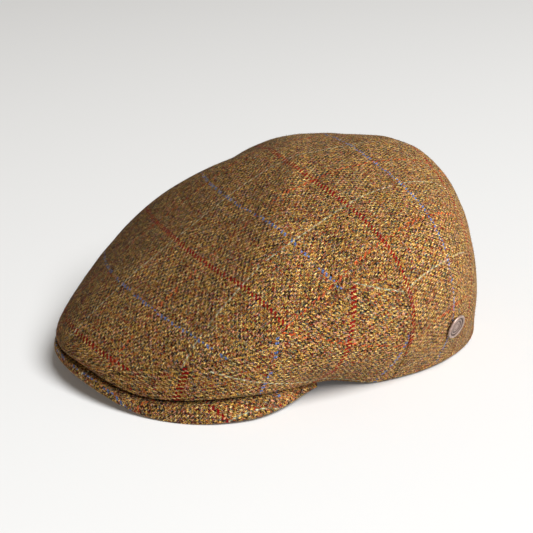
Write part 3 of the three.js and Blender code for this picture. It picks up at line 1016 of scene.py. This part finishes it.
def make_badge(segments):
    """Round badge with a raised rim and plain rings, its post and its flange behind the cloth."""
    r = BADGE["radius"]
    post = BADGE["post"]
    flange = BADGE["flange"]
    back_face = BADGE["gap"]
    half = BADGE["height"] / 2
    front = back_face + BADGE["height"]
    behind = -WALL - BADGE["gap"] - FLANGE_ROOM
    end = behind - BADGE["flange_thickness"]
    profile = [(0, end, 0), (flange - FLANGE_EDGE[0], end, 0), (flange, end + FLANGE_EDGE[1], 0)]
    profile += [(flange, behind, 0), (post, behind, 0.5), (post, back_face, 0.5)]
    profile.append((r - RIM_ROUND, back_face, 0))
    for a in np.radians(np.linspace(-80, 80, 9)):
        profile.append((r - RIM_ROUND + RIM_ROUND * math.cos(a), back_face + half + half * math.sin(a), 0))
    profile += [(r - inward, front - depth, hollow) for inward, depth, hollow in BADGE_FACE]
    profile.append((0, front - MIDDLE_DEPTH, 0))
    profile = np.array(profile)
    ring = np.arange(segments) * 2 * math.pi / segments
    body = profile[1:-1]
    radius = body[:, :1]
    circles = [radius * np.cos(ring), radius * np.sin(ring), body[:, 1:2] + 0 * ring]
    points = np.stack(circles, -1).reshape(-1, 3)
    hollow = np.repeat(body[:, 2], segments)
    low = len(points)
    points = np.concatenate([points, [[0, 0, profile[0, 1]], [0, 0, profile[-1, 1]]]])
    hollow = np.concatenate([hollow, [0, 0]])
    k = np.arange(segments)
    after = (k + 1) % segments
    last_ring = (len(body) - 1) * segments
    first = np.stack([np.full(segments, low), after, k], 1)
    last = np.stack([np.full(segments, low + 1), last_ring + k, last_ring + after], 1)
    faces = np.concatenate([tube_faces(len(body), segments), first, last])
    at = np.array([BADGE["angle"]]), np.array([BADGE["t"]])
    turn = Vector((0, 0, 1)).rotation_difference(Vector(crown_normal(*at)[0])).to_matrix()
    points = points @ np.array(turn).T + crown(*at)[0]
    obj = add_mesh("badge_disc", to_frame(points), faces, {})
    attribute = obj.data.attributes.new("hollow", "FLOAT", "POINT")
    attribute.data.foreach_set("value", hollow.astype(np.float32))
    return obj


dress(make_badge(segments=72), "badge_metal", metal("aged_metal"), "badge")


# How many fibres each piece of cloth has, and the first one's seed.
FIBRES = {"top_panel": 26000, "side_panel_left": 3600, "side_panel_right": 3600, "peak": 4200}
FIRST_SEED = 21
# Fibres in millimetres, and how far they stand off and curve as a share of their length.
FIBRE_LENGTH = (0.6, 1.9)
FIBRE_HALF_WIDTH = (0.025, 0.05)
FIBRE_STAND = (0.12, 0.75)
FIBRE_CURVE = 0.35
ROOT_DEPTH = 0.1
# The middle of a fibre lies this share of the way out and up, with this share of its width.
MIDDLE_OUT = 0.55
MIDDLE_UP = 0.5
MIDDLE_WIDTH = 0.8
TIP_UP = 0.7


def read_values(collection, name, kind):
    """Three values for each item of a mesh's collection."""
    values = np.zeros(len(collection) * 3, kind)
    collection.foreach_get(name, values)
    return values.reshape(-1, 3)


def make_fibres(name, source, count, seed):
    """Short curved fibres just off the cloth, each a thin strip with its root's yarn numbers."""
    rng = np.random.default_rng(seed)
    mesh = source.data
    co = read_values(mesh.vertices, "co", float)
    numbers = read_values(mesh.attributes["weave"].data, "vector", float)
    faces = read_values(mesh.polygons, "vertices", int)
    # A shell's second half of points is its inner face, which gets no fibres.
    if source.name != "peak_cloth":
        faces = faces[faces.max(1) < len(co) // 2]
    corners = co[faces]
    normal = np.cross(corners[:, 1] - corners[:, 0], corners[:, 2] - corners[:, 0])
    area = np.linalg.norm(normal, axis=1)
    normal /= np.maximum(area, 1e-15)[:, None]
    pick = rng.choice(len(faces), count, p=area / area.sum())
    w = rng.random((count, 2))
    over = w.sum(1) > 1
    w[over] = 1 - w[over]
    weights = np.stack([1 - w.sum(1), w[:, 0], w[:, 1]], -1)[..., None]
    root = (co[faces[pick]] * weights).sum(1)
    weave = (numbers[faces[pick]] * weights).sum(1)
    n = normal[pick]
    side = np.cross(n, rng.normal(size=(count, 3)))
    side /= np.linalg.norm(side, axis=1, keepdims=True)
    length = rng.uniform(*FIBRE_LENGTH, count)[:, None] * MM
    stand = rng.uniform(*FIBRE_STAND, count)[:, None]
    across = np.cross(n, side) * rng.uniform(*FIBRE_HALF_WIDTH, count)[:, None] * MM
    bend = np.cross(n, side) * rng.normal(0, FIBRE_CURVE, count)[:, None]
    mid = root + length * (MIDDLE_OUT * side + MIDDLE_UP * stand * n)
    tip = root + length * (side + bend + stand * (TIP_UP * n))
    low = root - n * ROOT_DEPTH * MM
    narrow = across * MIDDLE_WIDTH
    points = np.stack([low - across, low + across, mid - narrow, mid + narrow, tip], 1)
    # No fibre reaches into the floor.
    points[..., 2] = np.maximum(points[..., 2], 0)
    k = np.arange(count)[:, None] * 5
    strips = np.concatenate([k + [0, 1, 3], k + [0, 3, 2], k + [2, 3, 4]])
    return add_mesh(name, points.reshape(-1, 3), strips, {"weave": np.repeat(weave, 5, axis=0)})


for number, (node, count) in enumerate(FIBRES.items()):
    cloth = bpy.data.objects[node + "_cloth"]
    dress(make_fibres(node + "_fibres", cloth, count, FIRST_SEED + number), "tweed", CLOTH)


# The camera's turn round the cap, height over the floor, roll, distance, and scale at the aim.
AZIMUTH = math.radians(66.3)
ELEVATION = math.radians(21.7)
ROLL = math.radians(2.0)
DISTANCE = 0.868
PX_PER_MM = 1.7716
FOCAL_PX = PX_PER_MM * DISTANCE / MM
IMAGE_PX = 533
SENSOR = 36
# The point that is aimed at, in the part's millimetres, and its pixels from the picture's middle.
AIM = (0, -15.3, 45.9)
AIM_PX = (5.0, 5.2)
right = Vector((math.cos(AZIMUTH), math.sin(AZIMUTH), 0))
toward = Vector((math.sin(AZIMUTH), -math.cos(AZIMUTH), 0))
back_axis = toward * math.cos(ELEVATION) + Vector((0, 0, math.sin(ELEVATION)))
up_axis = back_axis.cross(right)


def add_camera():
    data = bpy.data.cameras.new("camera")
    data.sensor_width = SENSOR
    data.lens = FOCAL_PX / IMAGE_PX * SENSOR
    data.clip_start = 0.01
    camera = bpy.data.objects.new("camera", data)
    bpy.context.scene.collection.objects.link(camera)
    x_axis = right * math.cos(ROLL) - up_axis * math.sin(ROLL)
    y_axis = right * math.sin(ROLL) + up_axis * math.cos(ROLL)
    aim = Vector(to_frame(AIM)) - (right * AIM_PX[0] + up_axis * AIM_PX[1]) / PX_PER_MM * MM
    place = Matrix((x_axis, y_axis, back_axis)).transposed().to_4x4()
    place.translation = aim + back_axis * DISTANCE
    camera.matrix_world = place
    bpy.context.scene.camera = camera


CENTRE_OF_CAP = Vector((0, 0, 0.05))
# Round lights: metres from the cap to the camera's right, toward the camera and up, how far beyond the cap
# they aim, their size, power and colour.
KEY_LIGHT = {
    "place": (0.94, 0.68, 0.76),
    "aim_beyond": 0.0,
    "size": 1.1,
    "power": 31.5,
    "colour": (1, 1, 0.97),
}
PAPER_LIGHT = {
    "place": (1.4, 1.8, 2.6),
    "aim_beyond": 1.2,
    "size": 2.1,
    "power": 188.0,
    "colour": (0.97, 0.985, 1),
}


def add_area(name, light):
    """A round area light that faces its aim."""
    data = bpy.data.lights.new(name, "AREA")
    data.shape = "DISK"
    data.size = light["size"]
    data.energy = light["power"]
    data.color = light["colour"]
    sideways, near, up = light["place"]
    place = CENTRE_OF_CAP + right * sideways + toward * near + Vector((0, 0, up))
    aim = CENTRE_OF_CAP - toward * light["aim_beyond"]
    obj = bpy.data.objects.new(name, data)
    obj.location = place
    obj.rotation_euler = (aim - place).to_track_quat("-Z", "Y").to_euler()
    bpy.context.scene.collection.objects.link(obj)
    return obj


FLOOR_HALF = 6.0
FLOOR_SURFACE = {
    "Base Color": (0.74, 0.738, 0.73, 1),
    "Emission Color": (1, 0.995, 0.985, 1),
    "Emission Strength": 0.06,
    "Roughness": 0.85,
    "Specular IOR Level": 0.2,
}


def add_floor():
    """White paper that glows a little, as on a light table."""
    h = FLOOR_HALF
    mesh = bpy.data.meshes.new("floor")
    mesh.from_pydata([(-h, -h, 0), (h, -h, 0), (h, h, 0), (-h, h, 0)], [], [(0, 1, 2, 3)])
    floor = bpy.data.objects.new("floor", mesh)
    bpy.context.scene.collection.objects.link(floor)
    material = bpy.data.materials.new("floor_paper")
    Nodes(material).surface(FLOOR_SURFACE)
    mesh.materials.append(material)
    return floor


WORLD_COLOUR = (1.0, 0.88, 0.74, 1)
WORLD_STRENGTH = 0.16

add_camera()
floor = add_floor()
key_light = add_area("key_light", KEY_LIGHT)
paper_light = add_area("paper_light", PAPER_LIGHT)
# The paper light falls on the paper only, and the key light on everything else.
paper = bpy.data.collections.new("paper")
paper.objects.link(floor)
paper_light.light_linking.receiver_collection = paper
all_but_paper = bpy.data.collections.new("all_but_paper")
all_but_paper.objects.link(floor)
all_but_paper.collection_objects[0].light_linking.link_state = "EXCLUDE"
key_light.light_linking.receiver_collection = all_but_paper
world = bpy.data.worlds.new("studio")
world.use_nodes = True
background = world.node_tree.nodes["Background"]
background.inputs[0].default_value = WORLD_COLOUR
background.inputs[1].default_value = WORLD_STRENGTH
bpy.context.scene.world = world
bpy.context.scene.view_settings.view_transform = "Standard"
